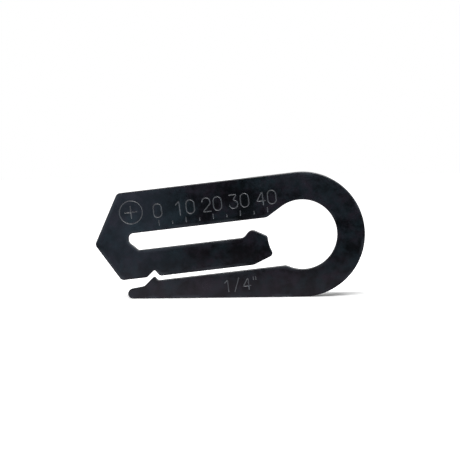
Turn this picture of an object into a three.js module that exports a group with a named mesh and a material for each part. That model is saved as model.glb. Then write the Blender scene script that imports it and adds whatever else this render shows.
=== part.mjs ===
// A flat hand jig cut from one black steel plate, with no loose pieces.
//
// A pointed head carries two limbs. The upper arm runs into a round bow, and the bow's lower arm comes back
// under the head as a tapered finger. The tongue lies between the arms: above it is a slot, and below it a
// narrow gate that leads past a notch and a matching nub to the finger hole.
//
// The plate stands on the lower arm's straight edge: X runs along that edge, Y through the plate, Z up. Its
// outline is drawn from the bow's centre, along and across the top edge, and then turned to stand.
import * as THREE from "three";

// Driving dimensions, in millimetres and degrees.
const plateThickness = 3.175;
const edgeRounding = 0.35;

// The bow, and what is laid out from it.
const fingerHoleRadius = 12.7;
const bowWidth = 10.16;
const upperArmWidth = 15.24;
const slotWidth = 6.35;
const armTaper = 6;
const armCornerRadius = 3;

// The gate's lower edge enters the finger hole this far above the hole's lowest point.
const gateRise = 2.15;
const gateGap = 1.5;

const headReach = 75.9;
const headPointDrop = 17.8;
const headEdgeAngle = 60;
const headCornerRadius = 1.9;

// The slot's blind end, and its mouth at the finger hole.
const slotReach = 63.35;
const slotEndWidth = 3.1;
const slotCutbackAngle = 45;
const slotCornerRadius = 1.85;
const slotHeelRadius = 0.75;
const mouthAngle = 30;
const mouthRadius = 3;

// The tongue's end: a hook into the slot, and a bevelled nose that follows the finger hole.
const hookReach = 18.5;
const hookHeight = 2.95;
const hookBackAngle = 45;
const hookFrontAngle = 30;
const hookRadius = 2.4;
const hookRootRadius = 2;
const noseBevelReach = 18.9;
const noseBevelAngle = 20;
const noseBevelRadius = 3.2;
const noseCornerRadius = 1.4;

// The notch under the head, and the nub that lies in it at the gate's width.
const notchReach = 55.2;
const notchDepth = 2.5;
const notchBackAngle = 38.5;
const notchFrontAngle = 57.5;
const notchRootRadius = 0.6;
const notchBackRadius = 1.1;
const notchFrontRadius = 1.75;
const nubPeakRadius = 0.7;
const nubFrontRadius = 1.4;
const nubHeelRadius = 1.2;

// The rounded tip of the lower arm, past the notch.
const fingertipOverhang = 8.9;
const fingertipRadius = 1.9;
const fingertipSlope = 4.3;

// How finely round stretches and rounded edges are cut into facets.
const arcDeviation = 0.005;
const edgeFacets = 3;

const degrees = Math.PI / 180;

// The unit vector at a heading, and the one a quarter turn to its left.
const ahead = (heading) => new THREE.Vector2(Math.cos(heading * degrees), Math.sin(heading * degrees));
const leftOf = (heading) => ahead(heading + 90);

// A straight edge of the outline: it passes through a point at a heading, with the metal on its left.
class Straight {
  constructor(point, heading) {
    this.point = point;
    this.heading = heading;
  }

  // The same edge moved to its left.
  offset(distance) {
    return new Straight(this.point.clone().addScaledVector(leftOf(this.heading), distance), this.heading);
  }

  // The point of the edge nearest to another point.
  nearest(point) {
    const direction = ahead(this.heading);
    return this.point.clone().addScaledVector(direction, point.clone().sub(this.point).dot(direction));
  }

  directionAt() {
    return ahead(this.heading);
  }

  // A straight stretch needs no points between its ends.
  between() {
    return [];
  }
}

// A round edge of the outline: turn is 1 where it runs anticlockwise, with the metal inside, and -1 where it
// runs clockwise, with the metal outside.
class Round {
  constructor(centre, radius, turn) {
    this.centre = centre;
    this.radius = radius;
    this.turn = turn;
  }

  offset(distance) {
    return new Round(this.centre, this.radius - this.turn * distance, this.turn);
  }

  nearest(point) {
    return point.clone().sub(this.centre).setLength(this.radius).add(this.centre);
  }

  directionAt(point) {
    const heading = point.clone().sub(this.centre).angle() / degrees;
    return leftOf(heading).multiplyScalar(this.turn);
  }

  // The straight edge that touches this one at a heading.
  tangent(heading) {
    const touch = this.centre.clone().addScaledVector(leftOf(heading), -this.turn * this.radius);
    return new Straight(touch, heading);
  }

  // The points that divide the arc from start to end, without either of them.
  between(start, end) {
    const from = start.clone().sub(this.centre).angle();
    const to = end.clone().sub(this.centre).angle();
    const sweep = THREE.MathUtils.euclideanModulo((to - from) * this.turn, 2 * Math.PI);
    const step = 2 * Math.acos(1 - Math.min(arcDeviation / this.radius, 0.5));
    const count = Math.ceil(sweep / step);
    const points = [];
    for (let i = 1; i < count; i++) {
      const heading = (from + (this.turn * sweep * i) / count) / degrees;
      points.push(this.centre.clone().addScaledVector(ahead(heading), this.radius));
    }
    return points;
  }
}

// Where two edges cross. A straight edge crosses a round one twice, and every corner here is the left one.
function crossing(a, b) {
  if (a instanceof Round) return crossing(b, a);
  const direction = ahead(a.heading);
  if (b instanceof Straight) {
    const other = ahead(b.heading);
    const along = b.point.clone().sub(a.point).cross(other) / direction.cross(other);
    return a.point.clone().addScaledVector(direction, along);
  }
  const foot = a.nearest(b.centre);
  const halfChord = Math.sqrt(b.radius ** 2 - foot.distanceToSquared(b.centre));
  return foot.addScaledVector(direction, direction.x < 0 ? halfChord : -halfChord);
}

// The joint between two edges: their touching point where the radius is null, else a fillet of that radius,
// which lies in the metal on an outer corner and outside it on an inner one.
function joint(a, b, radius) {
  if (radius === null) {
    const point = a instanceof Straight ? a.nearest(b.centre) : b.nearest(a.centre);
    return { start: point, end: point, points: [point] };
  }
  const corner = crossing(a, b);
  const turn = Math.sign(a.directionAt(corner).cross(b.directionAt(corner)));
  const centre = crossing(a.offset(turn * radius), b.offset(turn * radius));
  const start = a.nearest(centre);
  const end = b.nearest(centre);
  const fillet = new Round(centre, radius, turn);
  return { start, end, points: [start, ...fillet.between(start, end), end] };
}

// The whole outline as points, anticlockwise, from its edges and the radius that ends each of them.
function outlineOf(edges) {
  const joints = edges.map(({ edge, end }, i) => joint(edge, edges[(i + 1) % edges.length].edge, end));
  return edges.flatMap(({ edge }, i) => {
    const before = joints.at(i - 1);
    return [...edge.between(before.end, joints[i].start), ...joints[i].points];
  });
}

// A point of the drawing, from the bow's centre.
const at = (along, across) => new THREE.Vector2(along, across);

// The plate's outline, with the top edge level.
function plateOutline() {
  const bow = new Round(at(0, 0), fingerHoleRadius + bowWidth, 1);
  const fingerHole = new Round(at(0, 0), fingerHoleRadius, -1);

  // Heights of the level edges. The tongue takes what the slot and the gate leave between the arms.
  const slotTop = bow.radius - upperArmWidth;
  const tongueTop = slotTop - slotWidth;
  const armTop = gateRise - fingerHole.radius;
  const tongueBottom = armTop + gateGap;

  const headPoint = at(-headReach, bow.radius - headPointDrop);
  const hookPeak = at(-hookReach, tongueTop + hookHeight);
  const slotCutback = at(-slotReach, slotTop - slotEndWidth);

  // The nub follows the notch at the width of the gate.
  const notchRoot = at(-notchReach, tongueBottom + notchDepth);
  const notchBack = new Straight(notchRoot, notchBackAngle);
  const notchFront = new Straight(notchRoot, -notchFrontAngle);
  const nubPeak = crossing(notchBack.offset(-gateGap), notchFront.offset(-gateGap));

  // The fingertip is a full round that rests on the arm's lower edge.
  const armBottom = bow.tangent(-armTaper);
  const tipLine = armBottom.offset(fingertipRadius);
  const tipReach = notchReach + fingertipOverhang;
  const tipCentre = crossing(tipLine, new Straight(at(-tipReach, 0), 90));
  const fingertip = new Round(tipCentre, fingertipRadius, 1);

  return outlineOf([
    { edge: bow.tangent(180), end: headCornerRadius },
    { edge: new Straight(headPoint, 180 + headEdgeAngle), end: headCornerRadius },
    { edge: new Straight(headPoint, -headEdgeAngle), end: headCornerRadius },
    { edge: new Straight(at(0, tongueBottom), 0), end: notchBackRadius },
    { edge: notchBack, end: notchRootRadius },
    { edge: notchFront, end: notchFrontRadius },
    { edge: new Straight(at(0, tongueBottom), 0), end: noseBevelRadius },
    { edge: new Straight(at(-noseBevelReach, tongueBottom), noseBevelAngle), end: noseCornerRadius },
    { edge: fingerHole, end: noseCornerRadius },
    { edge: new Straight(hookPeak, 180 - hookFrontAngle), end: hookRadius },
    { edge: new Straight(hookPeak, 180 + hookBackAngle), end: hookRootRadius },
    { edge: new Straight(at(0, tongueTop), 180), end: slotHeelRadius },
    { edge: new Straight(slotCutback, 180 - slotCutbackAngle), end: slotCornerRadius },
    { edge: new Straight(at(-slotReach, 0), 90), end: slotCornerRadius },
    { edge: new Straight(at(0, slotTop), 0), end: mouthRadius },
    { edge: fingerHole.tangent(mouthAngle), end: null },
    { edge: fingerHole, end: armCornerRadius },
    { edge: new Straight(at(0, armTop), 180), end: nubFrontRadius },
    { edge: new Straight(nubPeak, 180 - notchFrontAngle), end: nubPeakRadius },
    { edge: new Straight(nubPeak, 180 + notchBackAngle), end: nubHeelRadius },
    { edge: fingertip.tangent(180 + fingertipSlope), end: null },
    { edge: fingertip, end: null },
    { edge: armBottom, end: null },
    { edge: bow, end: null },
  ]);
}

// The plate lying in the drawing's plane, turned so that the lower arm's edge is level, its thickness
// centred on that plane. The edges are rounded inwards, so the outline keeps its size.
function plateGeometry() {
  const turned = plateOutline().map((point) => point.rotateAround(new THREE.Vector2(), armTaper * degrees));
  const geometry = new THREE.ExtrudeGeometry(new THREE.Shape(turned), {
    depth: plateThickness - 2 * edgeRounding,
    bevelEnabled: true,
    bevelThickness: edgeRounding,
    bevelSize: edgeRounding,
    bevelOffset: -edgeRounding,
    bevelSegments: edgeFacets,
  });
  return geometry.center();
}

const blackSteel = new THREE.MeshStandardMaterial({
  name: "black_steel",
  color: new THREE.Color(0.013, 0.015, 0.019),
  roughness: 0.42,
  metalness: 0,
});

// Stood up on the lower arm's edge, centred above the origin.
const plate = new THREE.Mesh(plateGeometry(), blackSteel);
plate.name = "jig_plate";
plate.geometry.computeBoundingBox();
plate.rotation.x = Math.PI / 2;
plate.position.z = -plate.geometry.boundingBox.min.y;

const jig = new THREE.Group();
jig.add(plate);

export default jig;
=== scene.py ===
"""A flat hand jig of black steel plate, standing on its lower edge on a white table.

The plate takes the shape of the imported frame. This script engraves it, gives it its satin black finish,
and sets it in a small white studio. Sizes and places are in metres, and angles in degrees.
"""
import math

import bmesh
import bpy
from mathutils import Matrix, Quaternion, Vector


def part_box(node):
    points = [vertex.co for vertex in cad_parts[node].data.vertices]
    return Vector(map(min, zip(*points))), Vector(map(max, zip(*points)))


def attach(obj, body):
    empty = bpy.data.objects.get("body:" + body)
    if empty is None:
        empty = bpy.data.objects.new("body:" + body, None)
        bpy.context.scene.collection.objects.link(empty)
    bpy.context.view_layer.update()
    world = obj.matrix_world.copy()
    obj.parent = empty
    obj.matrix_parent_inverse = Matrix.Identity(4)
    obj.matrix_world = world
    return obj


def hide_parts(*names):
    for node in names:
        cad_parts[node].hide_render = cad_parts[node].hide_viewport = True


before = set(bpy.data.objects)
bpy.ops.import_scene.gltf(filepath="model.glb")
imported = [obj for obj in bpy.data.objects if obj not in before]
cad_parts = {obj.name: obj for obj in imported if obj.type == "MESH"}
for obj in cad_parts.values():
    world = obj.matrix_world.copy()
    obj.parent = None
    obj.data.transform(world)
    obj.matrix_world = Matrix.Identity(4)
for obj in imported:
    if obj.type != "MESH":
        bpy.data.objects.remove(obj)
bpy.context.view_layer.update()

# The plate's drawing: along its top edge and across it, from the bow's centre.
BOW_RADIUS = 0.02286
TOP_EDGE_TILT = 6
plate_low, plate_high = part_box("jig_plate")
bow_centre = Vector((plate_high.x - BOW_RADIUS, plate_low.y, plate_low.z + BOW_RADIUS))

# The plate's copy before the cut. It is parted in strips, so that no face gets many holes.
MERGE_REACH = 0.000001
FLAT_ANGLE = 0.2
PARTING_STEP = 0.004

# After the cut, what is thinner than a sliver is merged, and an edge that bends more than a lip is sharp.
SLIVER = 0.000003
LIP_ANGLE = 38

# The groove that a round-nosed engraving cutter leaves, and the steps of its bends and its round ends.
GROOVE_WIDTH = 0.00042
GROOVE_DEPTH = 0.00012
CUTTER_RADIUS = (GROOVE_WIDTH**2 / 4 + GROOVE_DEPTH**2) / (2 * GROOVE_DEPTH)
CUTTER_FINENESS = 6
BEND_STEP = 15
RING_STEP = 7.5
END_STEP = 30
END_TIP = 0.05

# A scale in millimetres on the upper arm, with a number each centimetre.
SCALE_START = -0.0515
SCALE_PITCH = 0.010
SCALE_NUMBERS = ("0", "10", "20", "30", "40")
DIGIT_HEIGHT = 0.0050
DIGIT_SPACING = 0.0041
DIGIT_BASE = 0.0124
TICK_BASE = 0.0096
LONG_TICK = 0.0016
SHORT_TICK = 0.0008

# A centre mark on the head, and the slot's width on the lower arm.
MARK_CENTRE = (-0.0613, 0.0154)
MARK_RADIUS = 0.0042
MARK_CROSS = 0.0022
WIDTH_LABEL = ("1", "/", "4", '"')
LABEL_START = (-0.0306, -0.0176)
LABEL_HEIGHT = 0.0043
LABEL_SPACING = 0.0035

# Digits as single strokes, in shares of their height: each corner has its place and the radius of its bend.
DIGITS = {
    "0": [(0, 0, 0.3), (0.6, 0, 0.3), (0.6, 1, 0.3), (0, 1, 0.3)],
    "1": [(0.08, 0.76, 0), (0.34, 1, 0.04), (0.34, 0, 0)],
    "2": [(0, 0.72, 0), (0, 1, 0.28), (0.6, 1, 0.28), (0.6, 0.55, 0.3), (0, 0, 0.05), (0.6, 0, 0)],
    "3": [
        (0.03, 1, 0), (0.57, 1, 0.05), (0.27, 0.6, 0.05),
        (0.6, 0.6, 0.3), (0.6, 0, 0.3), (0, 0, 0.28), (0, 0.2, 0),
    ],
    "4": [(0.46, 0, 0), (0.46, 1, 0.04), (0, 0.3, 0.05), (0.62, 0.3, 0)],
    "/": [(0.05, -0.05, 0), (0.5, 1.05, 0)],
}
CLOSED_DIGITS = ("0",)
DIGIT_WIDTH = 0.6

# The inch mark's two short strokes, in shares of the label's height.
INCH_MARK_PLACES = (0.1, 0.3)
INCH_MARK_FOOT = 0.78

# The finish's two blacks, as linear colours, and the patches in which they change over.
TEAL_BLACK = (0.0042, 0.0076, 0.0098, 1)
VIOLET_BLACK = (0.0076, 0.0060, 0.0090, 1)
DRIFT_SIZE = 0.014
DRIFT_PLACE = (0.730, 0, 1.755)
DRIFT_SPECK = 0.0032

# The patches in which the finish is darker or lighter, and the levels between which it changes.
TONE_SIZE = 0.010
TONE_PLACE = (-1.277, 0, -1.601)
TONE_SPECK = 0.0040
TONE_LEVELS = (0.30, 1.85)

# How much specks count in both kinds of patches, and the part of the noise that the patches use.
SPECK_SHARE = 0.55
MOTTLE_RANGE = (0.40, 0.60)

# The roughness of the satin, and the cloudy patches in which it changes.
SATIN_RANGE = (0.15, 0.18)
CLOUD_SIZE = 0.006
CLOUD_RANGE = (0.3, 0.7)

# Wear along the outline's edges, in patches, with a painted highlight in it that stands in for light on the
# rounded edges. It grows as fewer of the ways into the steel are free.
EDGE_WEAR_AND_HIGHLIGHT_GREY = (0.026, 0.030, 0.036, 1)
EDGE_REACH = 0.0020
EDGE_FREE = (0.92, 0.66)
EDGE_SIZE = 0.012
EDGE_PLACE = (1.729, 0, 0.637)
EDGE_RANGE = (0.46, 0.60)

# Rubbed spots on the rounded edges, and how far behind the faces these lie.
RUB_GREY = (0.045, 0.047, 0.052, 1)
RUB_SHARE = 0.35
RUB_SIZE = 0.002
RUB_RANGE = (0.45, 0.70)
RUB_INSET = (0.00001, 0.0003)

# The grooves' paler and duller surface: partly bare steel, partly a painted highlight for the light that the
# groove walls catch.
GROOVE_BARE_AND_LIT_GREY = (0.078, 0.083, 0.091, 1)
GROOVE_SHARE = 0.85
GROOVE_ROUGHNESS = 0.05

# The lines that cutting left across the sides, which fade in as the surface's normal turns from Y.
CUT_LINE_SIZE = 0.0004
CUT_LINE_STRETCH = (1, 0.03, 1)
CUT_LINE_DEPTH = 0.00006
CUT_SIDE = (0.6, 0.2)

# The fine grain of the whole surface.
GRAIN_SIZE = 0.0004
GRAIN_DEPTH = 0.000006


def on_face(along, across, proud=0.0):
    """The point of the front face at a place in the drawing, or that far in front of it."""
    tilt = math.radians(TOP_EDGE_TILT)
    x = along * math.cos(tilt) - across * math.sin(tilt)
    z = along * math.sin(tilt) + across * math.cos(tilt)
    return bow_centre + Vector((x, -proud, z))


def rounded(corners, closed):
    """The points of a line through the corners, each one (x, y, radius), with its bends rounded."""
    points = []
    for i, (x, y, radius) in enumerate(corners):
        corner = Vector((x, y, 0))
        if radius == 0 or not closed and i in (0, len(corners) - 1):
            points.append(corner)
            continue
        before = (Vector((*corners[i - 1][:2], 0)) - corner).normalized()
        after = (Vector((*corners[(i + 1) % len(corners)][:2], 0)) - corner).normalized()
        half = before.angle(after) / 2
        centre = corner + (before + after).normalized() * radius / math.sin(half)
        start = corner + before * radius / math.tan(half) - centre
        end = corner + after * radius / math.tan(half) - centre
        count = max(2, math.ceil(math.degrees(math.pi - 2 * half) / BEND_STEP))
        points += [centre + start.slerp(end, k / count) * radius for k in range(count + 1)]
    return points


def round_ended(places):
    """The cutter's path and its share of the cutter's radius at each point, with a ball at both ends."""
    path = [(place, 1) for place in places]
    for end, inner in ((0, 1), (-1, -2)):
        outward = (places[end] - places[inner]).normalized()
        for turn in range(END_STEP, 90 + END_STEP, END_STEP):
            reach = CUTTER_RADIUS * math.sin(math.radians(turn))
            point = (places[end] + outward * reach, max(math.cos(math.radians(turn)), END_TIP))
            if end == 0:
                path.insert(0, point)
            else:
                path.append(point)
    return path


def glyph(name, along, across, height):
    """The stroke of one digit, with its lower left corner at a place in the drawing."""
    corners = DIGITS[name]
    closed = name in CLOSED_DIGITS
    places = [(along + p.x * height, across + p.y * height) for p in rounded(corners, closed)]
    return places, closed


def scale_strokes():
    """The scale's numbers, with a long tick under each and a short one halfway between."""
    strokes = []
    for i, number in enumerate(SCALE_NUMBERS):
        middle = SCALE_START + i * SCALE_PITCH
        left = middle - (DIGIT_SPACING * (len(number) - 1) + DIGIT_WIDTH * DIGIT_HEIGHT) / 2
        for k, digit in enumerate(number):
            strokes.append(glyph(digit, left + k * DIGIT_SPACING, DIGIT_BASE, DIGIT_HEIGHT))
        strokes.append(([(middle, TICK_BASE), (middle, TICK_BASE + LONG_TICK)], False))
        if i > 0:
            between = middle - SCALE_PITCH / 2
            strokes.append(([(between, TICK_BASE), (between, TICK_BASE + SHORT_TICK)], False))
    return strokes


def centre_mark_strokes():
    """A ring with a small cross in it."""
    along, across = MARK_CENTRE
    turns = [math.radians(i * RING_STEP) for i in range(int(360 / RING_STEP))]
    ring = [(along + MARK_RADIUS * math.cos(t), across + MARK_RADIUS * math.sin(t)) for t in turns]
    level = [(along - MARK_CROSS, across), (along + MARK_CROSS, across)]
    upright = [(along, across - MARK_CROSS), (along, across + MARK_CROSS)]
    return [(ring, True), (level, False), (upright, False)]


def width_strokes():
    """The slot's width, with its inch mark."""
    along, across = LABEL_START
    strokes = []
    for i, name in enumerate(WIDTH_LABEL):
        left = along + i * LABEL_SPACING
        if name in DIGITS:
            strokes.append(glyph(name, left, across, LABEL_HEIGHT))
            continue
        for place in INCH_MARK_PLACES:
            x = left + place * LABEL_HEIGHT
            strokes.append(([(x, across + INCH_MARK_FOOT * LABEL_HEIGHT), (x, across + LABEL_HEIGHT)], False))
    return strokes


def engraving_cutter(strokes):
    """The space that the engraving takes out of the plate: a round bar along each stroke."""
    lines = bpy.data.curves.new("engraving", "CURVE")
    lines.dimensions = "3D"
    lines.bevel_depth = CUTTER_RADIUS
    lines.bevel_resolution = CUTTER_FINENESS
    lines.use_fill_caps = True
    for drawing, closed in strokes:
        places = [on_face(*place, CUTTER_RADIUS - GROOVE_DEPTH) for place in drawing]
        path = [(place, 1) for place in places] if closed else round_ended(places)
        spline = lines.splines.new("POLY")
        spline.points.add(len(path) - 1)
        spline.use_cyclic_u = closed
        for point, (place, share) in zip(spline.points, path):
            point.co = (*place, 1)
            point.radius = share
    bars = bpy.data.objects.new("engraving", lines)
    bpy.context.scene.collection.objects.link(bars)
    return bars


def as_mesh(obj):
    """The mesh of an object as its modifiers leave it."""
    bpy.context.view_layer.update()
    graph = bpy.context.evaluated_depsgraph_get()
    return bpy.data.meshes.new_from_object(obj.evaluated_get(graph))


def marked_object(name, mesh, mark):
    """An object in the scene with a stand-in material, by which its faces are known after the cut."""
    mesh.materials.clear()
    mesh.materials.append(bpy.data.materials.new(mark))
    obj = bpy.data.objects.new(name, mesh)
    bpy.context.scene.collection.objects.link(obj)
    return obj


def plate_copy():
    """The frame's plate with its points merged and its flat faces made whole, and then parted in strips."""
    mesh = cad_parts["jig_plate"].data.copy()
    mesh.name = "plate"
    shape = bmesh.new()
    shape.from_mesh(mesh)
    bmesh.ops.remove_doubles(shape, verts=shape.verts, dist=MERGE_REACH)
    flat = math.radians(FLAT_ANGLE)
    bmesh.ops.dissolve_limit(shape, angle_limit=flat, verts=shape.verts, edges=shape.edges)
    for i in range(1, math.ceil((plate_high.x - plate_low.x) / PARTING_STEP)):
        place = (plate_low.x + i * PARTING_STEP, 0, 0)
        geometry = [*shape.verts, *shape.edges, *shape.faces]
        bmesh.ops.bisect_plane(shape, geom=geometry, dist=MERGE_REACH, plane_co=place, plane_no=(1, 0, 0))
    shape.to_mesh(mesh)
    shape.free()
    return mesh


def merge_slivers(mesh):
    """Merges the slivers that the cut leaves between its points."""
    shape = bmesh.new()
    shape.from_mesh(mesh)
    bmesh.ops.remove_doubles(shape, verts=shape.verts, dist=SLIVER)
    bmesh.ops.dissolve_degenerate(shape, dist=SLIVER, edges=shape.edges)
    shape.to_mesh(mesh)
    shape.free()


def engraved_plate():
    """The plate of the frame with its engraving cut in."""
    plate = marked_object("plate", plate_copy(), "faces")
    bars = engraving_cutter(scale_strokes() + centre_mark_strokes() + width_strokes())
    cutter = marked_object("cutter", as_mesh(bars), "groove")
    cut = plate.modifiers.new("engraving", "BOOLEAN")
    cut.operation = "DIFFERENCE"
    cut.solver = "EXACT"
    cut.use_self = True
    cut.material_mode = "TRANSFER"
    cut.object = cutter
    plate.data = as_mesh(plate)
    plate.modifiers.clear()
    merge_slivers(plate.data)
    for obj in (bars, cutter):
        bpy.data.objects.remove(obj)
    return plate


def node(tree, kind, inputs=None, **settings):
    """A new node with its settings, its inputs given a value or linked to another node's output."""
    made = tree.nodes.new(kind)
    for name, value in settings.items():
        setattr(made, name, value)
    for key, value in (inputs or {}).items():
        if isinstance(value, bpy.types.NodeSocket):
            tree.links.new(value, made.inputs[key])
        else:
            made.inputs[key].default_value = value
    return made


def blended(tree, share, first, second):
    """The colour between two, at a share that a node gives."""
    mix = node(tree, "ShaderNodeMix", {0: share, 6: first, 7: second}, data_type="RGBA")
    return mix.outputs[2]


def scaled(tree, colour, level):
    """A colour made darker or lighter by a level that a node gives."""
    return node(tree, "ShaderNodeVectorMath", {0: colour, "Scale": level}, operation="SCALE").outputs[0]


def ramped(tree, value, start, end, low=0.0, high=1.0):
    """A value's run from start to end, made a run from low to high and held there."""
    inputs = {"Value": value, "From Min": start, "From Max": end, "To Min": low, "To Max": high}
    return node(tree, "ShaderNodeMapRange", inputs, interpolation_type="SMOOTHSTEP").outputs[0]


def computed(tree, operation, first, second=0.0):
    """The result of one sum, product or comparison of two values."""
    return node(tree, "ShaderNodeMath", {0: first, 1: second}, operation=operation).outputs[0]


def noise(tree, place, size, detail=2.0, roughness=0.5):
    """Cloudy noise whose largest features are about that size."""
    inputs = {"Vector": place, "Scale": 1 / size, "Detail": detail, "Roughness": roughness}
    return node(tree, "ShaderNodeTexNoise", inputs).outputs["Fac"]


def moved(tree, place, offset):
    """The same place, moved elsewhere in the noise."""
    return node(tree, "ShaderNodeMapping", {"Vector": place, "Location": offset}).outputs[0]


def mottle(tree, place, size, offset, speck, low=0.0, high=1.0):
    """Uneven patches of one size, from elsewhere in the noise, with specks of a smaller size in them."""
    patches = noise(tree, moved(tree, place, offset), size, detail=3.0)
    specks = noise(tree, place, speck, detail=4.0, roughness=0.75)
    both = node(tree, "ShaderNodeMix", {0: SPECK_SHARE, 2: patches, 3: specks}).outputs[0]
    return ramped(tree, both, *MOTTLE_RANGE, low, high)


def steel_colour(tree, place, engraved):
    """Teal-black and violet-black in uneven patches, paler where edges are worn or rubbed and in grooves. The
    paler edges and grooves also carry a painted highlight.
    """
    drift = mottle(tree, place, DRIFT_SIZE, DRIFT_PLACE, DRIFT_SPECK)
    tone = mottle(tree, place, TONE_SIZE, TONE_PLACE, TONE_SPECK, *TONE_LEVELS)
    colour = scaled(tree, blended(tree, drift, VIOLET_BLACK, TEAL_BLACK), tone)

    # Paler near the outline: partly wear, partly a painted edge highlight.
    reach = {"Distance": EDGE_REACH}
    free = node(tree, "ShaderNodeAmbientOcclusion", reach, inside=True, only_local=True).outputs["AO"]
    near_edge = ramped(tree, free, *EDGE_FREE)
    uneven = ramped(tree, noise(tree, moved(tree, place, EDGE_PLACE), EDGE_SIZE), *EDGE_RANGE)
    colour = blended(tree, computed(tree, "MULTIPLY", near_edge, uneven), colour, EDGE_WEAR_AND_HIGHLIGHT_GREY)
    # Paler grooves: partly bare steel, partly a painted highlight.
    colour = blended(tree, computed(tree, "MULTIPLY", engraved, GROOVE_SHARE), colour, GROOVE_BARE_AND_LIT_GREY)

    rubbed = node(tree, "ShaderNodeAttribute", attribute_name="rubbed").outputs["Fac"]
    spots = ramped(tree, noise(tree, place, RUB_SIZE, detail=4.0, roughness=0.6), *RUB_RANGE)
    rub = computed(tree, "MULTIPLY", rubbed, computed(tree, "MULTIPLY", spots, RUB_SHARE))
    return blended(tree, rub, colour, RUB_GREY)


def steel_roughness(tree, place, engraved):
    """Cloudy satin, duller in the grooves."""
    clouds = noise(tree, place, CLOUD_SIZE, detail=4.0, roughness=0.55)
    satin = ramped(tree, clouds, *CLOUD_RANGE, *SATIN_RANGE)
    return computed(tree, "ADD", satin, computed(tree, "MULTIPLY", engraved, GROOVE_ROUGHNESS))


def steel_height(tree, place, normal):
    """The surface's fine relief in metres: cut lines across the sides, and grain everywhere."""
    facing = node(tree, "ShaderNodeSeparateXYZ", {0: normal}).outputs["Y"]
    side = ramped(tree, computed(tree, "ABSOLUTE", facing), *CUT_SIDE)
    stretch = node(tree, "ShaderNodeMapping", {"Vector": place, "Scale": CUT_LINE_STRETCH}).outputs[0]
    lines = computed(tree, "MULTIPLY", noise(tree, stretch, CUT_LINE_SIZE), CUT_LINE_DEPTH)
    grains = noise(tree, place, GRAIN_SIZE, detail=3.0, roughness=0.6)
    grain = computed(tree, "MULTIPLY", grains, GRAIN_DEPTH)
    return computed(tree, "ADD", computed(tree, "MULTIPLY", side, lines), grain)


def black_steel():
    """The plate's satin blue-black finish."""
    material = bpy.data.materials.new("black_steel")
    material.use_nodes = True
    tree = material.node_tree
    shader = tree.nodes["Principled BSDF"]
    coordinates = node(tree, "ShaderNodeTexCoord").outputs
    place = coordinates["Object"]
    engraved = node(tree, "ShaderNodeAttribute", attribute_name="engraved").outputs["Fac"]
    height = steel_height(tree, place, coordinates["Normal"])
    bump = node(tree, "ShaderNodeBump", {"Height": height, "Strength": 1.0, "Distance": 1.0})
    tree.links.new(steel_colour(tree, place, engraved), shader.inputs["Base Color"])
    tree.links.new(steel_roughness(tree, place, engraved), shader.inputs["Roughness"])
    tree.links.new(bump.outputs[0], shader.inputs["Normal"])
    return material


def mark_surfaces(mesh):
    """Writes where the finish differs: the grooves, which their stand-in material shows, and rubbed edges."""
    groove = [face.material_index > 0 for face in mesh.polygons]
    engraved = mesh.attributes.new("engraved", "FLOAT", "FACE")
    engraved.data.foreach_set("value", [float(cut) for cut in groove])
    on_groove = {i for face, cut in zip(mesh.polygons, groove) if cut for i in face.vertices}
    middle = (plate_low.y + plate_high.y) / 2
    reach = (plate_high.y - plate_low.y) / 2
    rubbed = mesh.attributes.new("rubbed", "FLOAT", "POINT")
    for vertex, mark in zip(mesh.vertices, rubbed.data):
        inset = reach - abs(vertex.co.y - middle)
        mark.value = float(RUB_INSET[0] < inset < RUB_INSET[1] and vertex.index not in on_groove)
    mesh.polygons.foreach_set("material_index", [0] * len(mesh.polygons))


def finish_plate(plate):
    """Shades the rounded edges and grooves smooth, with the faces flat and the grooves' lips sharp."""
    mark_surfaces(plate.data)
    plate.data.shade_smooth()
    plate.data.set_sharp_from_angle(angle=math.radians(LIP_ANGLE))
    weigh = plate.modifiers.new("even shading", "WEIGHTED_NORMAL")
    weigh.keep_sharp = True
    plate.data = as_mesh(plate)
    plate.modifiers.clear()
    plate.data.materials.clear()
    plate.data.materials.append(black_steel())


plate = engraved_plate()
finish_plate(plate)
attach(plate, "root")
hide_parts("jig_plate")

# The camera, as in the photograph: a long lens a little to the right, a little above, and not quite level.
CAMERA_DISTANCE = 0.760
CAMERA_AZIMUTH = 2.47
CAMERA_ELEVATION = 2.7
CAMERA_ROLL = 0.89
CAMERA_LENS = 162.54
SENSOR_WIDTH = 36
AIM_HEIGHT = 0.024715

# The studio's light, and the room that the steel mirrors: white behind it and on its left, else dark.
WHITE = (1, 1, 1, 1)
AMBIENT = 0.30
ROOM_DARK = (0.02, 0.024, 0.03, 1)
ROOM_BACK_EDGE = (-0.35, 0.25)
ROOM_LEFT_EDGE = (0.20, 0.45)

# The table, and its grey as the steel mirrors it, which fades in front of the plate and towards the bow.
TABLE_HALF = 2.0
TABLE_WHITE = (0.88, 0.88, 0.88, 1)
MIRRORED_NEAR = (0.22, 0.20, 0.23, 1)
MIRRORED_FAR = (0.01, 0.01, 0.01, 1)
MIRRORED_REACH = (0.06, 0.19)
MIRRORED_ENDS = (-0.05, 0.03)
MIRRORED_LEVELS = (1.3, 0.85)

# Where the plate's shadow shows: round a line behind its foot, and how it fades out past that. Past it, the
# table's glow paints the shadow out with white.
SHADOW_ENDS = (-0.020, 0.028)
SHADOW_DEPTH = 0.010
SHADOW_RADII = (0.004, 0.056)
SHADOW_LEFT_EDGE = (0.020, 0.050)
SHADOW_BACK_EDGE = (0.012, 0.031)
SHADOW_FRONT_EDGE = (0.004, 0.009)


def direction(azimuth, elevation):
    """The way from the object to a place round it: azimuth 0 is straight in front, and 90 to its right."""
    azimuth, elevation = math.radians(azimuth), math.radians(elevation)
    level = math.cos(elevation)
    return Vector((math.sin(azimuth) * level, -math.cos(azimuth) * level, math.sin(elevation)))


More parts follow.
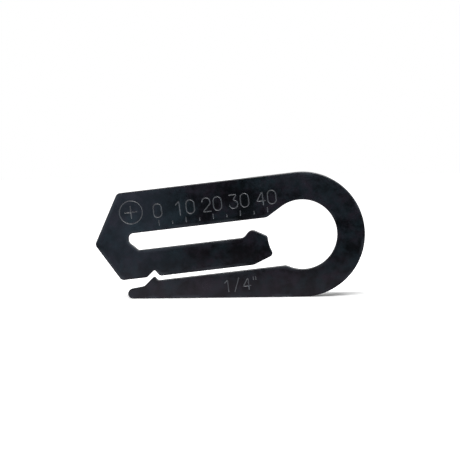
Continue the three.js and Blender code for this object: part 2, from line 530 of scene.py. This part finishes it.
def set_up(obj, place, way):
    """Puts an object in the scene at a place, pointing against a direction."""
    obj.location = place
    obj.rotation_mode = "QUATERNION"
    obj.rotation_quaternion = (-way).to_track_quat("-Z", "Y")
    bpy.context.scene.collection.objects.link(obj)


def add_camera():
    """The scene's camera, turned a little about its own line of sight."""
    camera = bpy.data.objects.new("camera", bpy.data.cameras.new("camera"))
    camera.data.sensor_width = SENSOR_WIDTH
    camera.data.lens = CAMERA_LENS
    back = direction(CAMERA_AZIMUTH, CAMERA_ELEVATION)
    set_up(camera, Vector((0, 0, AIM_HEIGHT)) + back * CAMERA_DISTANCE, back)
    camera.rotation_quaternion @= Quaternion((0, 0, 1), math.radians(-CAMERA_ROLL))
    bpy.context.scene.camera = camera


def add_lamp(name, way, distance, width, height, level, colour=(1, 1, 1)):
    """A rectangular lamp that lights a surface facing it, at the object, to that level."""
    lamp = bpy.data.lights.new(name, "AREA")
    lamp.shape = "RECTANGLE"
    lamp.size = width
    lamp.size_y = height
    lamp.energy = level * (math.pi * distance) ** 2
    lamp.color = colour
    obj = bpy.data.objects.new(name, lamp)
    set_up(obj, Vector((0, 0, AIM_HEIGHT)) + way * distance, way)
    obj.visible_camera = False
    return obj


def add_card(name, way, distance, width, height, level, colour):
    """A glowing card that shows only as a reflection in what shines."""
    card = add_lamp(name, way, distance, width, height, level, colour)
    card.visible_diffuse = False


def mirrored_table(tree, place, front):
    """The table's colour in reflections."""
    colour = blended(tree, ramped(tree, front, *MIRRORED_REACH), MIRRORED_NEAR, MIRRORED_FAR)
    return scaled(tree, colour, ramped(tree, place["X"], *MIRRORED_ENDS, *MIRRORED_LEVELS))


def shadow_painted_out(tree, place, front):
    """How far the table's glow paints out the shadow at a place: 0 in the shadow behind the plate's foot and
    1 past it.
    """
    along = computed(tree, "MAXIMUM", place["X"], SHADOW_ENDS[0])
    along = computed(tree, "MINIMUM", along, SHADOW_ENDS[1])
    foot = node(tree, "ShaderNodeCombineXYZ", {"X": along, "Y": SHADOW_DEPTH}).outputs[0]
    here = node(tree, "ShaderNodeCombineXYZ", {"X": place["X"], "Y": place["Y"]}).outputs[0]
    off = node(tree, "ShaderNodeVectorMath", {0: here, 1: foot}, operation="DISTANCE").outputs["Value"]
    left = computed(tree, "MULTIPLY", place["X"], -1.0)
    away = ramped(tree, off, *SHADOW_RADII)
    edges = ((left, SHADOW_LEFT_EDGE), (place["Y"], SHADOW_BACK_EDGE), (front, SHADOW_FRONT_EDGE))
    for way, edge in edges:
        away = computed(tree, "MAXIMUM", away, ramped(tree, way, *edge))
    return away


def white_table():
    """White but for the plate's shadow near its foot, and grey in reflections. Its glow lights only what
    mirrors it, and paints the shadow out elsewhere.
    """
    material = bpy.data.materials.new("white_table")
    material.use_nodes = True
    tree = material.node_tree
    tree.nodes.clear()
    path = node(tree, "ShaderNodeLightPath").outputs
    place = node(tree, "ShaderNodeTexCoord").outputs["Object"]
    place = node(tree, "ShaderNodeSeparateXYZ", {0: place}).outputs
    front = computed(tree, "MULTIPLY", place["Y"], -1.0)
    seen = computed(tree, "MAXIMUM", path["Is Camera Ray"], path["Is Transmission Ray"])
    mirrored = mirrored_table(tree, place, front)
    lit = node(tree, "ShaderNodeBsdfDiffuse", {"Color": blended(tree, seen, mirrored, TABLE_WHITE)})
    # Painted light: the glow lifts the table to white and paints out the plate's shadow away from its foot.
    lift = computed(tree, "MULTIPLY", seen, shadow_painted_out(tree, place, front))
    strength = computed(tree, "MAXIMUM", lift, path["Is Glossy Ray"])
    colour = blended(tree, seen, mirrored, WHITE)
    glow = node(tree, "ShaderNodeEmission", {"Color": colour, "Strength": strength})
    both = node(tree, "ShaderNodeAddShader", {0: lit.outputs[0], 1: glow.outputs[0]})
    node(tree, "ShaderNodeOutputMaterial", {"Surface": both.outputs[0]})
    return material


def add_floor():
    """The table's top, at the height of the plate's foot."""
    shape = bmesh.new()
    bmesh.ops.create_grid(shape, x_segments=1, y_segments=1, size=TABLE_HALF)
    bmesh.ops.translate(shape, verts=shape.verts, vec=(0, 0, plate_low.z))
    mesh = bpy.data.meshes.new("floor")
    shape.to_mesh(mesh)
    shape.free()
    mesh.materials.append(white_table())
    floor = bpy.data.objects.new("floor", mesh)
    bpy.context.scene.collection.objects.link(floor)


def add_world():
    """White to the camera. What shines sees white behind the object and a dark room in front of it."""
    world = bpy.data.worlds.new("studio")
    bpy.context.scene.world = world
    world.use_nodes = True
    tree = world.node_tree
    tree.nodes.clear()
    path = node(tree, "ShaderNodeLightPath").outputs
    way = node(tree, "ShaderNodeTexCoord").outputs["Generated"]
    way = node(tree, "ShaderNodeSeparateXYZ", {0: way}).outputs
    behind = ramped(tree, way["Y"], *ROOM_BACK_EDGE)
    left = ramped(tree, computed(tree, "MULTIPLY", way["X"], -1.0), *ROOM_LEFT_EDGE)
    mirrored = blended(tree, computed(tree, "MAXIMUM", behind, left), ROOM_DARK, WHITE)
    backdrop = blended(tree, path["Is Camera Ray"], mirrored, WHITE)
    shines = computed(tree, "MAXIMUM", path["Is Glossy Ray"], path["Is Transmission Ray"])
    seen = computed(tree, "MAXIMUM", path["Is Camera Ray"], shines)
    room = node(tree, "ShaderNodeBackground", {"Color": WHITE, "Strength": AMBIENT})
    white = node(tree, "ShaderNodeBackground", {"Color": backdrop, "Strength": 1.0})
    mix = node(tree, "ShaderNodeMixShader", {0: seen, 1: room.outputs[0], 2: white.outputs[0]})
    node(tree, "ShaderNodeOutputWorld", {"Surface": mix.outputs[0]})


add_camera()
add_floor()
add_lamp("key", direction(15, 50), distance=0.8, width=0.6, height=0.6, level=1.2)
add_card(
    "left_card", direction(-17.5, 5), distance=0.17, width=0.038, height=0.078, level=0.020,
    colour=(0.55, 0.75, 1.0),
)
add_card(
    "right_card", direction(27.2, 14.6), distance=0.188, width=0.150, height=0.044, level=0.170,
    colour=(0.61, 0.81, 1.0),
)
add_world()
bpy.context.scene.view_settings.view_transform = "Standard"
